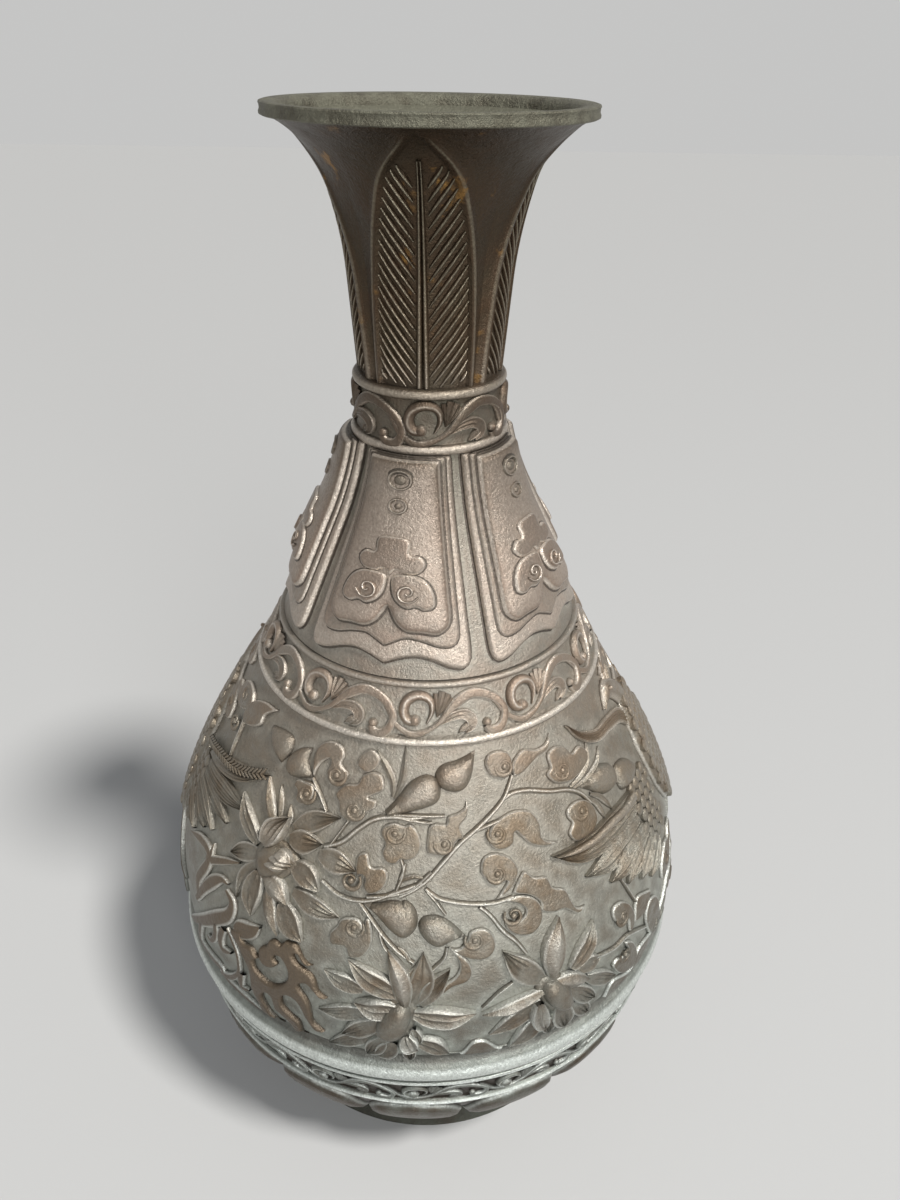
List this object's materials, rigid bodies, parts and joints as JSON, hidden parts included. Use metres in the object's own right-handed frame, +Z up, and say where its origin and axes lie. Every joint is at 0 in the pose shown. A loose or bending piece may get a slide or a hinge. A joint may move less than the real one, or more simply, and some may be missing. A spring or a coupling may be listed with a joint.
{
  "type": "pear-shaped vase",
  "caption": "Cast bronze pear-shaped vase with a trumpet mouth, leaf-cut neck, banded collar, lappet shoulder, lotus and phoenix relief and a petalled foot",
  "frame": {"origin": "centre of the underside of the foot ring, at the bottom centre of the vase", "axes": "+Z up along the vase's axis, -Y towards the viewer, +X to the viewer's right"},
  "size_m": [0.1586, 0.1602, 0.29],
  "materials": {
    "bronze_wall": "cast bronze, matt grey-brown patina",
    "bronze_relief": "cast bronze relief, rubbed reddish-brown patina"
  },
  "bodies": {
    "root": {"foot_ring": "bronze_wall", "base_plate": "bronze_wall", "foot_section": "bronze_wall", "foot_petals": "bronze_relief", "lower_band": "bronze_wall", "lower_scroll": "bronze_relief", "belly_ledge": "bronze_wall", "belly": "bronze_wall", "lotus_flowers": "bronze_relief", "phoenixes": "bronze_relief", "flower_buds": "bronze_relief", "curl_leaves": "bronze_relief", "leaf_blades": "bronze_relief", "phoenix_plumes": "bronze_relief", "vine_stems": "bronze_relief", "shoulder_band": "bronze_wall", "shoulder_scroll": "bronze_relief", "shoulder": "bronze_wall", "shoulder_panels": "bronze_relief", "panel_borders": "bronze_relief", "panel_plaques": "bronze_relief", "panel_bosses": "bronze_relief", "panel_clouds": "bronze_relief", "neck_collar": "bronze_wall", "collar_scroll": "bronze_relief", "neck": "bronze_wall", "leaf_midribs": "bronze_relief", "leaf_barbs": "bronze_relief", "mouth_rim": "bronze_wall"}
  },
  "joints": []
}
